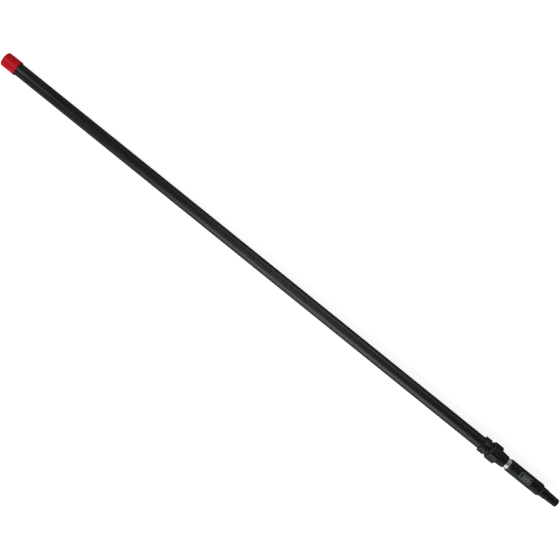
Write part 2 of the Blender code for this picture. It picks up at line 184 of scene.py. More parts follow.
def nylon(name, dark, light, rough_low, rough_high, grain=2600.0, depth=0.00004):
    """Black moulded nylon: fine eroded grain, soft flow marks, edges polished paler by handling."""
    g = Graph(name)
    pits = g.cells(grain)
    fine = g.noise(grain * 1.9, 3.0, 0.6)
    flow = g.noise(1.0, 3.0, 0.5, stretch=(35.0, 75.0, 75.0), distortion=0.8)
    scuff = g.noise(1.0, 5.0, 0.7, stretch=(160.0, 420.0, 420.0), distortion=0.5)
    scuffed = g.span(scuff, 0.62, 0.76)
    wear = g.maths("MULTIPLY", g.attribute("wear"), g.span(g.noise(700.0, 4.0, 0.6), 0.36, 0.66))
    colour = g.blend(g.span(flow, 0.3, 0.7), dark, light)
    colour = g.blend(g.maths("MULTIPLY", scuffed, 0.22), colour, (0.055, 0.055, 0.056))
    colour = g.blend(g.maths("MULTIPLY", wear, 0.42), colour, (0.075, 0.075, 0.077))
    rough = g.span(flow, 0.25, 0.75, rough_low, rough_high)
    rough = g.maths("SUBTRACT", rough, g.maths("MULTIPLY", wear, 0.10))
    rough = g.maths("ADD", rough, g.maths("MULTIPLY", scuffed, 0.07))
    height = g.maths("ADD", g.maths("MULTIPLY", pits, 0.9), g.maths("MULTIPLY", fine, 0.6))
    normal = g.bump(height, depth, 0.6)
    normal = g.bump(scuff, 0.00003, 0.25, under=normal)
    g.set(Specular_IOR_Level=0.48)
    return g.out(colour, rough, normal)


def red_vinyl():
    """Dip-moulded red vinyl: even colour with soft clouding, a slight skin, scuffs on the corner it stands on."""
    g = Graph("red_vinyl")
    cloud = g.noise(95.0, 3.0, 0.5)
    skin = g.noise(900.0, 3.0, 0.5)
    fine = g.noise(5200.0, 2.0, 0.5)
    marks = g.noise(1.0, 5.0, 0.7, stretch=(240.0, 520.0, 520.0), distortion=0.7)
    wear = g.attribute("wear")
    grime = g.maths("MULTIPLY", wear, g.span(g.noise(420.0, 5.0, 0.65), 0.45, 0.70))
    marked = g.span(marks, 0.66, 0.80)
    colour = g.blend(g.span(cloud, 0.3, 0.7), (0.68, 0.0040, 0.0130), (0.78, 0.0060, 0.0180))
    colour = g.blend(g.maths("MULTIPLY", marked, 0.22), colour, (0.62, 0.07, 0.07))
    colour = g.blend(g.maths("MULTIPLY", grime, 0.55), colour, (0.11, 0.012, 0.012))
    rough = g.maths("ADD", g.span(skin, 0.3, 0.7, 0.36, 0.44), g.maths("MULTIPLY", grime, 0.18))
    normal = g.bump(skin, 0.00006, 0.4)
    normal = g.bump(g.maths("ADD", fine, g.maths("MULTIPLY", marks, 0.6)), 0.00002, 0.5, under=normal)
    g.set(Specular_IOR_Level=0.20, Subsurface_Weight=0.06, Subsurface_Scale=0.002, Subsurface_Radius=(1.0, 0.25, 0.12))
    return g.out(colour, rough, normal)


def drawn_aluminium():
    """Bright drawn tube, clear anodised: hair-fine lengthwise drawing lines and rub rings from the collet."""
    g = Graph("drawn_aluminium")
    lines = g.noise(1.0, 3.0, 0.7, stretch=(6.0, 2600.0, 2600.0))
    broad = g.noise(1.0, 3.0, 0.6, stretch=(4.0, 420.0, 420.0))
    rings = g.noise(1.0, 3.0, 0.65, stretch=(1500.0, 60.0, 60.0), distortion=0.4)
    cloud = g.noise(60.0, 3.0)
    wear = g.maths("MULTIPLY", g.attribute("wear"), g.span(g.noise(900.0, 3.0), 0.35, 0.65))
    colour = g.blend(g.span(cloud, 0.3, 0.7), (0.84, 0.845, 0.85), (0.90, 0.90, 0.905))
    colour = g.blend(g.maths("MULTIPLY", g.span(rings, 0.60, 0.75), 0.22), colour, (0.50, 0.505, 0.51))
    colour = g.blend(g.maths("MULTIPLY", wear, 0.4), colour, (0.90, 0.90, 0.90))
    rough = g.maths("ADD", g.span(lines, 0.3, 0.7, 0.32, 0.42), g.span(rings, 0.55, 0.75, 0.0, 0.07))
    normal = g.bump(g.maths("ADD", lines, g.maths("MULTIPLY", broad, 0.5)), 0.000012, 0.5)
    normal = g.bump(rings, 0.000006, 0.4, under=normal)
    g.set(Metallic=0.92)
    return g.out(colour, rough, normal)


def turned_steel():
    g = Graph("turned_steel")
    lines = g.noise(1.0, 3.0, 0.7, stretch=(2600.0, 300.0, 2600.0))
    spots = g.noise(900.0, 4.0, 0.6)
    colour = g.blend(g.span(spots, 0.35, 0.7), (0.50, 0.50, 0.51), (0.62, 0.62, 0.62))
    colour = g.blend(g.maths("MULTIPLY", g.span(spots, 0.64, 0.74), 0.4), colour, (0.22, 0.20, 0.18))
    rough = g.span(lines, 0.3, 0.7, 0.24, 0.38)
    g.set(Metallic=1.0)
    return g.out(colour, rough, g.bump(lines, 0.000015, 0.5))


def acetal():
    g = Graph("natural_acetal")
    flow = g.noise(190.0, 4.0, 0.6, distortion=0.6)
    grain = g.noise(3800.0, 2.0)
    grime = g.span(g.noise(300.0, 5.0, 0.65), 0.58, 0.76)
    colour = g.blend(g.span(flow, 0.3, 0.7), (0.74, 0.73, 0.69), (0.82, 0.815, 0.78))
    colour = g.blend(g.maths("MULTIPLY", grime, 0.35), colour, (0.35, 0.34, 0.32))
    g.set(Subsurface_Weight=0.08, Subsurface_Scale=0.0015)
    return g.out(colour, g.span(flow, 0.25, 0.75, 0.30, 0.40), g.bump(grain, 0.00002, 0.4))


def rubber():
    g = Graph("moulded_rubber")
    bloom = g.noise(220.0, 4.0, 0.6)
    grain = g.noise(3000.0, 3.0)
    colour = g.blend(g.span(bloom, 0.35, 0.7), (0.016, 0.016, 0.016), (0.040, 0.039, 0.038))
    return g.out(colour, g.span(bloom, 0.3, 0.7, 0.66, 0.82), g.bump(grain, 0.00005, 0.6))


def felt():
    g = Graph("pressed_felt")
    fibre = g.noise(1.0, 5.0, 0.8, stretch=(2600.0, 1300.0, 1300.0), distortion=1.6)
    clump = g.noise(520.0, 4.0, 0.6)
    colour = g.blend(g.span(fibre, 0.35, 0.65), (0.17, 0.17, 0.165), (0.33, 0.33, 0.32))
    colour = g.blend(g.maths("MULTIPLY", g.span(clump, 0.5, 0.7), 0.4), colour, (0.10, 0.10, 0.10))
    g.set(Sheen_Weight=0.35, Sheen_Roughness=0.5)
    return g.out(colour, g.span(fibre, 0.3, 0.7, 0.86, 0.97), g.bump(fibre, 0.00022, 0.9))


def label_film():
    """Dark teal-black film, with the faint ripple of a pressed-on label."""
    g = Graph("label_film")
    ripple = g.noise(240.0, 3.0, 0.5)
    fine = g.noise(4200.0, 2.0)
    scratch = g.noise(1.0, 4.0, 0.7, stretch=(60.0, 2200.0, 2200.0), distortion=0.4)
    scratched = g.span(scratch, 0.66, 0.76)
    colour = g.blend(g.span(ripple, 0.3, 0.7), (0.012, 0.026, 0.026), (0.020, 0.040, 0.040))
    colour = g.blend(g.maths("MULTIPLY", scratched, 0.3), colour, (0.12, 0.14, 0.14))
    rough = g.maths("ADD", g.span(ripple, 0.3, 0.7, 0.26, 0.34), g.maths("MULTIPLY", scratched, 0.15))
    normal = g.bump(ripple, 0.00004, 0.4)
    return g.out(colour, rough, g.bump(fine, 0.00001, 0.4, under=normal))


def print_ink():
    """Pale screen-printed ink, slightly broken at its edges and rubbed."""
    g = Graph("print_ink")
    speck = g.noise(2600.0, 4.0, 0.6)
    rub = g.span(g.noise(330.0, 5.0, 0.7), 0.60, 0.74)
    colour = g.blend(g.span(speck, 0.4, 0.7), (0.46, 0.51, 0.50), (0.34, 0.40, 0.39))
    colour = g.blend(g.maths("MULTIPLY", rub, 0.5), colour, (0.12, 0.16, 0.16))
    return g.out(colour, g.span(speck, 0.3, 0.7, 0.42, 0.55), g.bump(speck, 0.00002, 0.5))


COAT = powder_coat()
COLLAR_NYLON = nylon("nylon_collar", (0.0036, 0.0036, 0.0038), (0.0058, 0.0058, 0.0061), 0.34, 0.42)
NUT_NYLON = nylon("nylon_nut", (0.0036, 0.0036, 0.0038), (0.0058, 0.0058, 0.0061), 0.33, 0.42, grain=2200.0, depth=0.00005)
CONE_NYLON = nylon("nylon_cone", (0.0034, 0.0036, 0.0038), (0.0054, 0.0057, 0.0060), 0.32, 0.40, grain=3000.0)
NOSE_NYLON = nylon("nylon_nose", (0.0034, 0.0034, 0.0036), (0.0056, 0.0056, 0.0058), 0.33, 0.42, grain=2400.0)
GUIDE_NYLON = nylon("nylon_guide", (0.0150, 0.0150, 0.0155), (0.0220, 0.0220, 0.0230), 0.40, 0.50)
VINYL = red_vinyl()
ALUMINIUM = drawn_aluminium()
STEEL = turned_steel()
ACETAL = acetal()
RUBBER = rubber()
FELT = felt()
FILM = label_film()
INK = print_ink()


# ================================================================ shape helpers
POLE_ROLL = 6.0                        # degrees: as it lies, everything but the nut is turned this far towards +Y


def to_world(points, roll=POLE_ROLL):
    """(..., 3) points in mm from the butt face and the pole's axis, as metres in the frame."""
    out = np.array(points, float) * MM
    c, t = math.cos(math.radians(roll)), math.sin(math.radians(roll))
    y, z = out[..., 1].copy(), out[..., 2].copy()
    out[..., 1], out[..., 2] = y * c + z * t, z * c - y * t
    out[..., 0] += BUTT_X
    out[..., 2] += AXIS_Z
    return out


def solid(name, verts, faces, wear, look, body, slot, replaces=(), sharp=38.0):
    """A closed mesh from points in mm; it rides on a body, and stands for the CAD nodes named."""
    verts = to_world(verts, 0.0 if body == "nut" else POLE_ROLL)
    mesh = bpy.data.meshes.new(name)
    mesh.from_pydata(verts.tolist(), [], faces)
    bm = bmesh.new()
    bm.from_mesh(mesh)
    bmesh.ops.recalc_face_normals(bm, faces=bm.faces)
    if bm.calc_volume(signed=True) < 0:
        bmesh.ops.reverse_faces(bm, faces=bm.faces)
    bm.to_mesh(mesh)
    bm.free()
    if wear is not None:
        layer = mesh.attributes.new("wear", "FLOAT", "POINT")
        layer.data.foreach_set("value", np.asarray(wear, np.float32).ravel())
    mesh.materials.append(look)
    mesh.shade_smooth()
    mesh.set_sharp_from_angle(angle=math.radians(sharp))
    made = bpy.data.objects.new(name, mesh)
    bpy.context.scene.collection.objects.link(made)
    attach(made, body)
    if replaces:
        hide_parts(*replaces)
    return made


def rounded(outline, steps=5):
    """A closed outline of (x, r, corner radius) with its corners rounded, and how much each point stands proud as an edge."""
    n = len(outline)
    area = sum(
        outline[i][0] * outline[(i + 1) % n][1] - outline[(i + 1) % n][0] * outline[i][1] for i in range(n)
    )
    points, edge = [], []
    for i, (x, r, radius) in enumerate(outline):
        p = Vector((x, r))
        a, b = Vector(outline[i - 1][:2]) - p, Vector(outline[(i + 1) % n][:2]) - p
        la, lb = a.length, b.length
        a, b = a / la, b / lb
        half = math.acos(max(-1.0, min(1.0, a.dot(b)))) / 2
        convex = ((-a).x * b.y - (-a).y * b.x) * area > 0
        if radius <= 0 or half > math.radians(88):
            points.append((x, r))
            edge.append(0.0)
            continue
        reach = min(radius / math.tan(half), 0.49 * la, 0.49 * lb)
        radius = reach * math.tan(half)
        middle = p + (a + b).normalized() * (radius / math.sin(half))
        u, v = (p + a * reach - middle) / radius, (p + b * reach - middle) / radius
        turn = math.pi - 2 * half
        for k in range(steps + 1):
            t = k / steps
            w = (u * math.sin((1 - t) * turn) + v * math.sin(t * turn)) / math.sin(turn)
            q = middle + w * radius
            points.append((q.x, q.y))
            edge.append(1.0 if convex and 0 < k < steps else (0.35 if convex else 0.0))
    return points, edge


def angle_list(count, seams=()):
    """Even angles in degrees, with a few more beside each moulding seam."""
    found = {round(360.0 * k / count, 4) for k in range(count)}
    for seam in seams:
        for off in (-1.1, -0.55, 0.0, 0.55, 1.1):
            found.add(round((seam + off) % 360.0, 4))
    return np.array(sorted(found))


def seam_lift(angles, seams, height=0.05, width=0.7):
    """How far a moulding seam stands up at each angle, in mm."""
    lift = np.zeros_like(angles)
    for seam in seams:
        off = (angles - seam + 180.0) % 360.0 - 180.0
        lift += height * np.exp(-((off / width) ** 2))
    return lift


def skin(rows, edge, closed=True):
    """Verts, faces and wear from rows of (n, 3) points; a row of one point is a pole."""
    verts, faces, wear, starts = [], [], [], []
    for row, e in zip(rows, edge):
        starts.append(len(verts))
        verts.extend(map(tuple, row))
        wear.extend(np.broadcast_to(np.asarray(e, float), (len(row),)))
    count = len(rows)
    for i in range(count if closed else count - 1):
        a, b = rows[i], rows[(i + 1) % count]
        sa, sb = starts[i], starts[(i + 1) % count]
        if len(a) == 1 and len(b) == 1:
            continue
        n = max(len(a), len(b))
        for k in range(n):
            j = (k + 1) % n
            if len(a) == 1:
                faces.append((sa, sb + j, sb + k))
            elif len(b) == 1:
                faces.append((sa + k, sa + j, sb))
            else:
                faces.append((sa + k, sa + j, sb + j, sb + k))
    return np.array(verts), faces, wear


def polar_row(x, angles, radius):
    a = np.radians(angles)
    r = np.broadcast_to(np.asarray(radius, float), a.shape)
    x = np.broadcast_to(np.asarray(x, float), a.shape)
    return np.stack([x, r * np.sin(a), r * np.cos(a)], -1)


def turned(name, outline, look, body, slot, replaces=(), count=144, steps=5, seams=(), wobble=None, sharp=38.0):
    """A piece of turned form, from a closed outline of (x, r, corner radius)."""
    points, edge = rounded(outline, steps)
    angles = angle_list(count, seams)
    outer = max(r for _, r in points)
    rows = []
    for x, r in points:
        if r < 1e-6:
            rows.append(np.array([[x, 0.0, 0.0]]))
            continue
        lift = seam_lift(angles, seams) if r > outer * 0.55 else 0.0
        dx, dr = wobble(x, r, angles) if wobble else (0.0, 0.0)
        rows.append(polar_row(x + dx, angles, r + lift + dr))
    verts, faces, wear = skin(rows, edge)
    return solid(name, verts, faces, wear, look, body, slot, replaces, sharp)


def piercing(x, low, high, radius, angle, count=32, sink=None):
    """The mesh of a cutter for a hole across the pole, from radius low to high at an angle."""
    profile = [(low, 0.0), (low, radius), (high, radius), (high, 0.0)]
    if sink:
        profile = [(low, 0.0)] + list(sink) + [(high, sink[-1][1]), (high, 0.0)]
    rows = []
    ring = np.radians(np.arange(count) * 360.0 / count)
    for along, r in profile:
        if r < 1e-6:
            rows.append(np.array([[0.0, 0.0, along]]))
        else:
            rows.append(np.stack([r * np.cos(ring), r * np.sin(ring), np.full(count, along)], -1))
    verts, faces, _ = skin(rows, [0.0] * len(rows), closed=False)
    a = math.radians(angle)
    turn = np.array([[1, 0, 0], [0, math.cos(a), math.sin(a)], [0, -math.sin(a), math.cos(a)]])
    verts = verts @ turn.T
    verts[:, 0] += x
    return verts, faces


def carve(target, verts, faces, name):
    """Cuts a closed shape out of a piece and applies it."""
    mesh = bpy.data.meshes.new(name)
    mesh.from_pydata(to_world(verts).tolist(), [], faces)
    bm = bmesh.new()
    bm.from_mesh(mesh)
    bmesh.ops.recalc_face_normals(bm, faces=bm.faces)
    if bm.calc_volume(signed=True) < 0:
        bmesh.ops.reverse_faces(bm, faces=bm.faces)
    bm.to_mesh(mesh)
    bm.free()
    cutter = bpy.data.objects.new(name, mesh)
    bpy.context.scene.collection.objects.link(cutter)
    made = target.modifiers.new(name, "BOOLEAN")
    made.operation, made.solver, made.object = "DIFFERENCE", "EXACT", cutter
    bpy.context.view_layer.update()
    graph = bpy.context.evaluated_depsgraph_get()
    cut = bpy.data.meshes.new_from_object(target.evaluated_get(graph), preserve_all_data_layers=True, depsgraph=graph)
    old = target.data
    target.modifiers.clear()
    target.data = cut
    bpy.data.meshes.remove(old)
    bpy.data.objects.remove(cutter)
    cut.name = target.name
    cut.shade_smooth()
    cut.set_sharp_from_angle(angle=math.radians(32.0))


# ================================================================ outer tube, butt cap
RIVET_X, RIVET_ANGLES = 1160.4, (156.0, -156.0)

outer_tube = turned(
    "outer_tube_drawn",
    [(3.2, 11.6, 0.2), (3.2, 12.7, 0.3)]
    + [(x, 12.7, 0.0) for x in np.linspace(60.0, 1140.0, 19)]
    + [(1168.4, 12.7, 0.3), (1168.4, 11.6, 0.2)],
    COAT, "pole", "outer_tube", ("outer_tube",), count=128,
)
for n, at in enumerate(RIVET_ANGLES):
    carve(outer_tube, *piercing(RIVET_X, 10.0, 18.0, 1.65, at), "rivet_hole_%d" % n)


def dipped(x, r, angles):
    """A dip-moulded rim is never quite square or quite round."""
    a = np.radians(angles)
    near_rim = max(0.0, (x - 22.4) / 10.0)
    dx = near_rim**3 * (0.16 * np.sin(2 * a + 0.6) + 0.09 * np.sin(5 * a + 1.9) + 0.05 * np.sin(11 * a))
    dr = 0.035 * np.sin(3 * a + 0.12 * x) * (1.0 if r > 13.5 else 0.0)
    return dx, dr


end_cap = turned(
    "end_cap_dipped",
    [(0.9, 0.0, 0.0), (0.9, 1.6, 0.35), (0.0, 2.5, 0.5), (0.0, 14.3, 3.3),
     (9.0, 14.38, 6.0), (20.0, 14.46, 6.0), (28.0, 14.52, 2.5), (30.0, 14.70, 1.2), (32.4, 14.70, 1.7), (32.4, 13.35, 0.25),
     (31.9, 13.0, 0.25), (2.9, 13.0, 0.8), (2.9, 0.0, 0.0)],
    VINYL, "pole", "end_cap", ("end_cap",), count=160, wobble=dipped,
)


# ================================================================ collar with its lobed grip ring
THREAD_PITCH, THREAD_X0, THREAD_X1 = 4.0, 1171.0, 1182.6


def thread_radius(x, angles, root, crest, phase):
    turns = (x - THREAD_X0) / THREAD_PITCH + angles / 360.0 + phase
    t = np.abs(turns - np.floor(turns) - 0.5) * 2
    share = np.clip((0.58 - t) / 0.26, 0.0, 1.0)
    fade = min(1.0, max(0.0, (x - THREAD_X0) / 1.4), max(0.0, (THREAD_X1 - x) / 1.4))
    return root + (crest - root) * share * fade


def smooth(t):
    t = np.clip(t, 0.0, 1.0)
    return t * t * (3 - 2 * t)


RING_X0, RING_X1, LOBE_R, VALLEY_R, SLANT = 1152.0, 1166.4, 16.4, 13.9, 3.2
ring_angles = angle_list(240)
off_valley = np.minimum(ring_angles % 120.0, 120.0 - ring_angles % 120.0)
lobe = smooth((off_valley - 13.0) / 11.5)
forward = SLANT * (1.0 - smooth((off_valley - 12.0) / 26.0))
flank = np.exp(-(((off_valley - 21.5) / 2.0) ** 2))


def ring_row(x, drop, slant=0.0, valley_drop=None):
    """A row of the grip ring, drop mm under the lobes' tops."""
    valley = VALLEY_R - (drop * 0.25 if valley_drop is None else valley_drop)
    return polar_row(x + slant * forward, ring_angles, valley + (LOBE_R - drop - valley) * lobe)


def corner(radius, steps=6, start=0.0, end=90.0):
    """Steps round a corner: (distance in from the end face, drop under the top)."""
    for k in range(steps + 1):
        t = math.radians(start + (end - start) * k / steps)
        yield radius * (1 - math.sin(t)), radius * (1 - math.cos(t))


rows = [ring_row(RING_X0, LOBE_R - 13.45, 1.0, VALLEY_R - 13.4)]
edge = [0.0 * lobe]
for back, drop in corner(1.3, start=90.0, end=0.0):
    rows.append(ring_row(RING_X0 + back, drop, 1.0))
    edge.append(0.8 * lobe * (0 < drop < 1.3) + 0.15 * flank)
for x in (1157.0, 1159.6, 1161.8, 1163.6):
    rows.append(ring_row(x, 0.0, max(0.0, (1163.6 - x) / 11.0)))
    edge.append(0.25 * flank)
for back, drop in corner(0.9):
    rows.append(ring_row(RING_X1 - back, drop, 0.0))
    edge.append(0.9 * lobe * (0 < drop < 0.9) + 0.15 * flank)
rows.append(polar_row(RING_X1, ring_angles, 13.95))
rows.append(polar_row(RING_X1 + 0.25, ring_angles, 13.7))
edge += [0.0 * lobe, 0.0 * lobe]
for k in range(45):
    x = THREAD_X0 - 0.3 + (THREAD_X1 - THREAD_X0 + 0.3) * k / 44
    rows.append(polar_row(x, ring_angles, thread_radius(x, ring_angles, 13.7, 14.5, 0.0)))
    edge.append(0.0 * lobe)
for x, r in ((1183.4, 13.1), (1183.4, 11.7), (1183.0, 11.3), (1172.7, 11.3), (1172.4, 11.6), (1172.4, 13.0)):
    rows.append(polar_row(x, ring_angles, r))
    edge.append(0.0 * lobe)
rows.append(polar_row(RING_X0 + 0.5 + forward, ring_angles, 13.0))
edge.append(0.0 * lobe)
collar = solid("collar_moulded", *skin(rows, edge), COLLAR_NYLON, "pole", "collar_body", ("collar_body",), 42.0)
for n, at in enumerate(RIVET_ANGLES):
    carve(collar, *piercing(RIVET_X, 10.0, 18.0, 1.65, at), "collar_hole_%d" % n)
    carve(collar, *piercing(RIVET_X, 15.05, 17.4, 1.2, at, sink=((15.05, 1.2), (17.4, 3.55))), "collar_sink_%d" % n)


# ================================================================ lock nut
NUT_X0, NUT_X1, PAD_X1 = 1170.2, 1210.6, 1191.8
nut_fine = []
for third in range(3):
    for at, step in ((0.0, 0.4), (6.4, 0.8), (12.0, 2.0), (108.0, 0.8), (113.6, 0.4)):
        end = {0.0: 6.4, 6.4: 12.0, 12.0: 108.0, 108.0: 113.6, 113.6: 120.0}[at]
        nut_fine += [120.0 * third + a for a in np.arange(at, end - 1e-6, step)]
nut_angles = np.array(nut_fine)
off_pad = np.abs(nut_angles % 120.0 - 60.0)               # degrees from the middle of the pad


def pad_radius():
    rel = np.radians(off_pad)
    r = -7.2045 * np.cos(rel) + np.sqrt(25.0**2 - (7.2045 * np.sin(rel)) ** 2)
    at = math.radians(16.0)                                # the middle of each pad is quite flat
    flat = (-7.2045 * math.cos(at) + math.sqrt(25.0**2 - (7.2045 * math.sin(at)) ** 2)) * math.cos(at)
    r = np.where(off_pad < 16.0, flat / np.cos(rel), r)
    r -= 0.75 * smooth((off_pad - 49.5) / 6.0) ** 2
    floor = 16.65 + 0.25 * ((60.0 - off_pad) / 5.0) ** 2
    return r + (floor - r) * smooth((off_pad - 54.4) / 2.2)


PAD = pad_radius()
groove_lip = np.exp(-(((off_pad - 54.3) / 1.1) ** 2))


def under(a, b, soft):
    """The lesser of two radii, with the corner between them rounded."""
    h = np.clip(0.5 + 0.5 * (b - a) / soft, 0.0, 1.0)
    return b * (1 - h) + a * h - soft * h * (1 - h)


def nut_row(x, limit, soft=0.5):
    return polar_row(x, nut_angles, under(PAD, np.full_like(PAD, limit), soft))


rows, edge = [polar_row(NUT_X0 + 0.25, nut_angles, 14.66), polar_row(NUT_X0, nut_angles, 14.72)], [0.0, 0.3]
for x in (0.0, 0.15, 0.5, 1.0, 1.6, 2.2, 2.8, 3.4, 3.9, 4.3, 4.7, 5.2, 6.0):
    limit = 15.0 + 0.88 * x
    rows.append(nut_row(NUT_X0 + x, limit if x > 0 else 14.85, 0.9))
    edge.append(np.clip(1.0 - np.abs(limit - PAD) / 0.6, 0.0, 1.0) * 0.8 + 0.25 * groove_lip)
for x in np.linspace(NUT_X0 + 7.5, PAD_X1 - 0.9, 7):
    rows.append(nut_row(x, 30.0))
    edge.append(0.85 * groove_lip)
for back, drop in corner(0.7, 7):
    if back < 0.7:
        rows.append(nut_row(PAD_X1 - back, 19.2 - drop * 1.05, 0.3))
        edge.append(np.clip(1.0 - np.abs(19.2 - drop - PAD) / 1.0, 0.0, 1.0) * 0.9)
for r in (17.4, 16.4, 15.4, 14.6):
    rows.append(nut_row(PAD_X1 + 0.02 * (18 - r), r, 0.1))
    edge.append(0.0)
for k in range(1, 6):                                     # hollow corner between the pads' ends and the nose
    t = math.radians(90.0 * k / 6)
    rows.append(polar_row(PAD_X1 + 0.08 + 0.8 * (1 - math.cos(t)), nut_angles, 13.88 + 0.8 * (1 - math.sin(t))))
    edge.append(0.0)
for x in (1192.9, 1197.0, 1202.0, 1205.8):
    rows.append(polar_row(x, nut_angles, 13.88 - (x - 1192.7) * (1.18 / 13.9)))
    edge.append(0.0)
for k in range(8):                                        # rounded nose
    t = math.radians(8.0 + 76.0 * k / 7)
    rows.append(polar_row(1206.6 + 3.9 * math.sin(t) / math.sin(math.radians(84)), nut_angles, 12.68 - 1.2 * (1 - math.cos(t)) ** 1.35))
    edge.append(0.5 if k > 3 else 0.15)
for x, r in ((NUT_X1, 11.7), (NUT_X1 - 0.12, 11.5), (NUT_X1 - 0.4, 11.45), (1203.6, 11.45), (1203.4, 12.35), (1199.0, 12.35),
             (1198.8, 11.7), (1197.0, 11.7), (1196.8, 12.85), (1186.6, 14.35), (1183.6, 14.45)):
    rows.append(polar_row(x, nut_angles, r))
    edge.append(0.0)
for k in reversed(range(45)):
    x = THREAD_X0 + (THREAD_X1 - THREAD_X0) * k / 44
    rows.append(polar_row(x, nut_angles, thread_radius(x, nut_angles - POLE_ROLL, 15.3, 14.1, 0.5)))
    edge.append(0.0)
rows.append(polar_row(NUT_X0 + 0.4, nut_angles, 14.9))
edge.append(0.0)
lock_nut = solid("lock_nut_moulded", *skin(rows, edge), NUT_NYLON, "nut", "lock_nut", ("lock_nut",), 42.0)


# ================================================================ inner tube
inner_tube = turned(
    "inner_tube_drawn",
    [(84.4, 9.9, 0.15), (84.4, 11.0, 0.2)] + [(x, 11.0, 0.0) for x in np.linspace(150.0, 1220.0, 16)]
    + [(1258.0, 11.0, 0.2), (1258.0, 9.9, 0.15)],
    ALUMINIUM, "inner", "inner_tube", ("inner_tube",), count=128,
)
carve(inner_tube, *piercing(1240.0, -16.0, 16.0, 1.65, 90.0), "inner_pin_hole")
carve(inner_tube, *piercing(100.0, -14.0, 14.0, 1.4, 90.0), "inner_guide_hole")


# ================================================================ locking cone
CONE_SEAMS = (62.0, 242.0)
cone = turned(
    "cone_sleeve",
    [(1218.0, 11.6, 0.25), (1218.0, 12.8, 0.7)] + [(x, 12.8, 0.0) for x in (1225.0, 1240.0, 1262.0, 1280.0)]
    + [(1292.6, 12.8, 1.1), (1296.6, 10.8, 0.45), (1297.0, 10.2, 0.12), (1258.4, 10.2, 0.0), (1258.4, 11.3, 0.0), (1218.4, 11.3, 0.0)],
    CONE_NYLON, "inner", "cone_body", ("cone_body",), count=168, seams=CONE_SEAMS,
)
nose = turned(
    "cone_core",
    [(1222.0, 6.2, 0.3), (1222.0, 9.4, 0.8), (1260.0, 9.6, 0.0), (1260.8, 9.9, 0.0), (1297.0, 9.9, 0.0), (1308.6, 9.6, 0.55),
     (1309.5, 8.97, 0.5), (1322.0, 8.50, 0.0), (1335.3, 8.02, 2.1), (1335.3, 1.5, 0.25), (1334.9, 1.2, 0.2), (1334.9, 0.0, 0.0),
     (1318.0, 0.0, 0.0), (1314.0, 5.4, 0.5), (1312.0, 6.0, 0.5)],
    NOSE_NYLON, "inner", "cone_nose", ("cone_nose",), count=168, seams=CONE_SEAMS,
)
for n, x in enumerate((1240.0, 1284.0)):
    carve(cone, *piercing(x, -16.0, 16.0, 1.65, 90.0), "sleeve_pin_hole_%d" % n)
    carve(nose, *piercing(x, -16.0, 16.0, 1.65, 90.0), "core_pin_hole_%d" % n)


def box_cutter(x0, x1, half, low, high, angle, radius):
    """A pocket with rounded corners, sunk towards the axis at an angle round the pole."""
    outline = []
    for cx, cy, start in ((x1 - radius, half - radius, 0), (x0 + radius, half - radius, 90),
                          (x0 + radius, radius - half, 180), (x1 - radius, radius - half, 270)):
        for k in range(6):
            t = math.radians(start + 18 * k)
            outline.append((cx + radius * math.cos(t), cy + radius * math.sin(t)))
    n = len(outline)
    verts = [(x, y, low) for x, y in outline] + [(x, y, high) for x, y in outline]
    faces = [tuple(range(n))[::-1], tuple(range(n, 2 * n))]
    faces += [(k, (k + 1) % n, n + (k + 1) % n, n + k) for k in range(n)]
    a = math.radians(angle)
    turn = np.array([[1, 0, 0], [0, math.cos(a), math.sin(a)], [0, -math.sin(a), math.cos(a)]])
    return np.array(verts) @ turn.T, faces


carve(nose, *box_cutter(1300.8, 1307.4, 2.4, 7.9, 12.0, 9.0, 0.6), "latch_notch")


def bent(name, outline, low, high, look, slot, replaces=(), grow=0.0, make=True):
    """A thin plate from a closed outline of (x, degrees) that follows the sleeve between two radii."""
    bm = bmesh.new()
    flat = [bm.verts.new((x, math.radians(a) * high, 0.0)) for x, a in outline]
    bm.faces.new(flat)
    reach = max(abs(v.co.y) for v in flat)
    steps = max(6, int(reach * 2 / 0.8))
    for k in range(1, steps):
        y = -reach + 2 * reach * k / steps
        bmesh.ops.bisect_plane(bm, geom=bm.verts[:] + bm.edges[:] + bm.faces[:], plane_co=(0, y, 0), plane_no=(0, 1, 0))
    bmesh.ops.recalc_face_normals(bm, faces=bm.faces)
    made = bmesh.ops.extrude_face_region(bm, geom=bm.faces[:])
    top = [v for v in made["geom"] if isinstance(v, bmesh.types.BMVert)]
    for v in top:
        v.co.z = 1.0
    for v in bm.verts:
        r = high if v.co.z > 0.5 else low
        a = v.co.y / high
        v.co = Vector((v.co.x, r * math.sin(a), r * math.cos(a)))
    bm.verts.index_update()
    verts = np.array([v.co[:] for v in bm.verts])
    faces = [tuple(v.index for v in f.verts) for f in bm.faces]
    bm.free()
    if not make:
        return verts, faces
    return solid(name, verts, faces, np.zeros(len(verts)), look, "inner", slot, replaces, 30.0)


def round_rect(x0, x1, half_deg, corner_mm, steps=7):
    """Outline of (x, degrees) of a rounded rectangle on the sleeve."""
    reach = math.radians(half_deg) * 12.68
    out = []
    for cx, cy, start in ((x1 - corner_mm, reach - corner_mm, 0), (x0 + corner_mm, reach - corner_mm, 90),
                          (x0 + corner_mm, corner_mm - reach, 180), (x1 - corner_mm, corner_mm - reach, 270)):
        for k in range(steps):
            t = math.radians(start + 90.0 * k / (steps - 1))
            out.append((cx + corner_mm * math.cos(t), math.degrees((cy + corner_mm * math.sin(t)) / 12.68)))
    return out


LABEL_X0, LABEL_X1 = 1242.4, 1269.6
carve(cone, *bent("seat", round_rect(LABEL_X0, LABEL_X1, 36.0, 3.2), 12.25, 14.0, None, None, make=False), "label_seat")
label = bent("label_plate", round_rect(LABEL_X0 + 0.35, LABEL_X1 - 0.35, 34.3, 2.9), 12.38, 12.68, FILM, "cone_label", ("cone_label",))


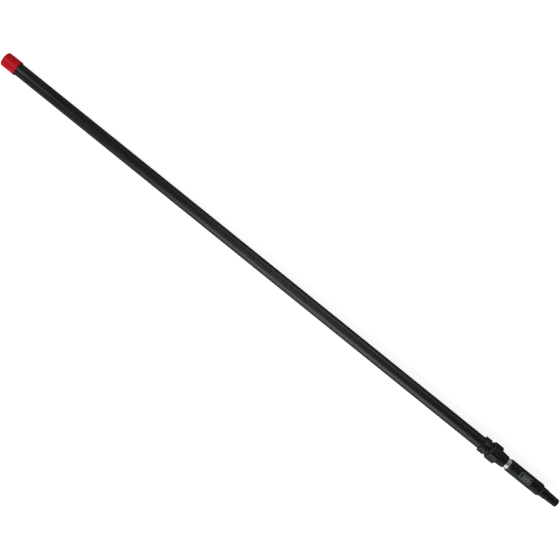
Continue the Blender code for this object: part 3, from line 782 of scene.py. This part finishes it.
# the printed mark: a round-cornered border and three arrowheads that show which way a tool is pushed on
def band_outline(x0, x1, half_deg, corner_mm, width):
    """Two outlines of the same count, the outside and the inside of a border."""
    outside = round_rect(x0, x1, half_deg, corner_mm)
    inner_half = half_deg - math.degrees(width / 12.68)
    return outside, round_rect(x0 + width, x1 - width, inner_half, max(0.4, corner_mm - width))


def printed(name, shapes, low=12.66, high=12.705):
    """Ink shapes on the label, each a closed strip of quads between two outlines or along a chevron."""
    verts, faces = [], []
    for quads in shapes:
        for quad in quads:
            start = len(verts)
            for r in (low, high):
                for x, a in quad:
                    t = math.radians(a)
                    verts.append((x, r * math.sin(t), r * math.cos(t)))
            faces += [tuple(start + i for i in f) for f in ((0, 1, 2, 3), (7, 6, 5, 4), (0, 4, 5, 1), (1, 5, 6, 2), (2, 6, 7, 3), (3, 7, 4, 0))]
    return solid(name, np.array(verts), faces, np.zeros(len(verts)), INK, "inner", "cone_label", (), 30.0)


def strip_between(outside, inside):
    n = len(outside)
    quads = []
    for k in range(n):
        a, b, c, d = outside[k], outside[(k + 1) % n], inside[(k + 1) % n], inside[k]
        steps = max(1, int(abs(a[1] - b[1]) / 4.0))
        for i in range(steps):
            t0, t1 = i / steps, (i + 1) / steps
            mix = lambda p, q, t: (p[0] + (q[0] - p[0]) * t, p[1] + (q[1] - p[1]) * t)
            quads.append((mix(a, b, t0), mix(a, b, t1), mix(d, c, t1), mix(d, c, t0)))
    return quads


def chevron(x, reach_x, half_deg, width):
    """An arrowhead with its point towards the tip, as quads from its middle out to both ends."""
    quads = []
    for side in (-1, 1):
        for i in range(5):
            t0, t1 = i / 5, (i + 1) / 5
            quads.append(tuple(
                (x - reach_x * t + off, side * half_deg * t) for t, off in ((t0, 0), (t1, 0), (t1, -width), (t0, -width))
            ))
    return quads


# ================================================================ finishes of the CAD pieces kept as they are
for names, look in (
    (("bump_stop", "guide_ring_rear", "guide_ring_front"), RUBBER),
    (("stop_ring", "slip_washer", "collet"), ACETAL),
    (("collar_rivet_left", "collar_rivet_right", "guide_pin", "cone_pin_rear", "cone_pin_front"), STEEL),
    (("wiper_ring",), FELT),
    (("tube_guide",), GUIDE_NYLON),
):
    for name in names:
        NODES[name].data.materials.clear()
        NODES[name].data.materials.append(look)


# ================================================================ stage
printed("label_border", [strip_between(*band_outline(LABEL_X0 + 1.3, LABEL_X1 - 1.3, 29.5, 2.3, 0.6))])
printed("label_arrows", [chevron(1265.6 - 5.4 * k, 4.4, 15.5, 1.9) for k in range(3)])


def stage_floor():
    g = Graph("pale_floor")
    wash = g.noise(1.4, 3.0, 0.5)
    grain = g.noise(420.0, 3.0, 0.6)
    # seen directly the floor glows near white, painted light that washes out most of the pole's contact shadow; what it
    # throws on to the pole is kept lower, as black cards would, and darker on the +Y side as painted shade of the
    # pole's shadow side
    seen = g.node("ShaderNodeLightPath").outputs["Is Camera Ray"]
    pale = g.blend(g.span(wash, 0.3, 0.7), (0.86, 0.86, 0.86), (0.90, 0.90, 0.90))
    across = g.node("ShaderNodeSeparateXYZ")
    g.link(g.coords(), across.inputs[0])
    # painted shade: the colour the floor throws on to the pole drops from the -Y side to the +Y side, where the pole's
    # shadow would fall
    thrown_with_painted_shade = g.blend(g.span(across.outputs["Y"], -0.08, 0.04), (FLOOR_THROW_PAINTED_SHADE[0],) * 3, (FLOOR_THROW_PAINTED_SHADE[1],) * 3)
    colour = g.blend(seen, thrown_with_painted_shade, pale)
    g.set(Emission_Color=(1.0, 1.0, 1.0, 1.0))
    g.link(g.maths("MULTIPLY", seen, FLOOR_GLOW), g.shader.inputs["Emission Strength"])
    g.out(colour, g.span(grain, 0.3, 0.7, 0.75, 0.85), g.bump(grain, 0.0001, 0.2))
    mesh = bpy.data.meshes.new("floor")
    half, z = 9.0, -0.0002
    mesh.from_pydata([(-half, -half, z), (half, -half, z), (half, half, z), (-half, half, z)], [], [(0, 1, 2, 3)])
    mesh.materials.append(g.material)
    made = bpy.data.objects.new("floor", mesh)
    bpy.context.scene.collection.objects.link(made)


def panel(name, at, aim, size_x, size_y, radiance, colour=(1.0, 1.0, 1.0), spread=180.0):
    """A soft panel light of a given brightness, aimed at a point."""
    data = bpy.data.lights.new(name, "AREA")
    data.shape = "RECTANGLE"
    data.size, data.size_y = size_x, size_y
    data.energy = radiance * math.pi * size_x * size_y
    data.color = colour
    data.spread = math.radians(spread)
    made = bpy.data.objects.new(name, data)
    turn = Matrix.Rotation(math.radians(-POLE_ROLL), 3, "X")
    middle = Vector((0.0, 0.0, AXIS_Z))
    at, aim = (middle + turn @ (Vector(v) - middle) for v in (at, aim))
    made.location = at
    made.rotation_euler = (aim - at).to_track_quat("-Z", "Y").to_euler()
    bpy.context.scene.collection.objects.link(made)


def sky():
    """Studio surround: dark straight above, lighter towards the horizon, and white beyond both ends of the pole."""
    world = bpy.data.worlds.new("studio")
    bpy.context.scene.world = world
    world.use_nodes = True
    tree = world.node_tree
    coord = tree.nodes.new("ShaderNodeTexCoord")
    split = tree.nodes.new("ShaderNodeSeparateXYZ")
    tree.links.new(coord.outputs["Generated"], split.inputs[0])
    ramp = tree.nodes.new("ShaderNodeValToRGB")
    tree.links.new(split.outputs["Z"], ramp.inputs["Fac"])
    elements = ramp.color_ramp.elements
    elements[0].position, elements[0].color = 0.0, (SKY_HORIZON,) * 3 + (1.0,)
    elements[1].position, elements[1].color = 0.93, (SKY_TOP,) * 3 + (1.0,)
    elements.new(0.55).color = (SKY_MIDDLE,) * 3 + (1.0,)
    far = tree.nodes.new("ShaderNodeMath")
    far.operation = "ABSOLUTE"
    tree.links.new(split.outputs["X"], far.inputs[0])
    ends = tree.nodes.new("ShaderNodeMapRange")
    ends.interpolation_type = "SMOOTHSTEP"
    tree.links.new(far.outputs[0], ends.inputs["Value"])
    for key, number in (("From Min", 0.55), ("From Max", 0.90), ("To Min", 0.0), ("To Max", SKY_ENDS)):
        ends.inputs[key].default_value = number
    total = tree.nodes.new("ShaderNodeMix")
    total.data_type, total.blend_type, total.clamp_result = "RGBA", "ADD", False
    total.inputs[0].default_value = 1.0
    tree.links.new(ramp.outputs["Color"], total.inputs[6])
    tree.links.new(ends.outputs["Result"], total.inputs[7])
    tree.links.new(total.outputs[2], tree.nodes["Background"].inputs["Color"])


# the floor's glow seen directly, and the colour it throws from its -Y and +Y sides; the lower +Y value is painted shade
FLOOR_GLOW, FLOOR_THROW_PAINTED_SHADE = 0.74, (0.74, 0.24)
SKY_HORIZON, SKY_MIDDLE, SKY_TOP, SKY_ENDS = 0.38, 0.12, 0.02, 0.20

stage_floor()
sky()
panel("key_softbox", (0.20, -1.42, 0.84), (0.17, 0.0, 0.02), 1.35, 1.50, 2.45)
panel("fill_softbox", (0.14, 1.6, 1.05), (0.08, 0.0, 0.02), 0.95, 1.1, 1.35)
panel("butt_softbox", (-1.05, -0.10, 0.75), (-0.655, 0.0, 0.02), 0.45, 0.45, 2.5)
panel("top_strip", (0.05, 0.10, 2.7), (0.03, 0.0, 0.0), 0.36, 1.6, 3.0)

# ================================================================ camera, at the photograph's angle
CAMERA_RISE = 2.05
camera_data = bpy.data.cameras.new("camera")
camera_data.lens, camera_data.sensor_width = 70.0, 36.0
camera_data.clip_start, camera_data.clip_end = 0.01, 60.0
camera = bpy.data.objects.new("camera", camera_data)
camera.matrix_world = (
    Matrix.Translation((-0.0027, CAMERA_RISE * math.sin(math.radians(POLE_ROLL)) + 0.0004,
                        AXIS_Z + CAMERA_RISE * math.cos(math.radians(POLE_ROLL))))
    @ Matrix.Rotation(math.radians(-POLE_ROLL), 4, "X")
    @ Matrix.Rotation(math.radians(38.90), 4, "Z")
)
bpy.context.scene.collection.objects.link(camera)
bpy.context.scene.camera = camera
bpy.context.scene.view_settings.view_transform = "Standard"
bpy.context.scene.view_settings.look = "None"
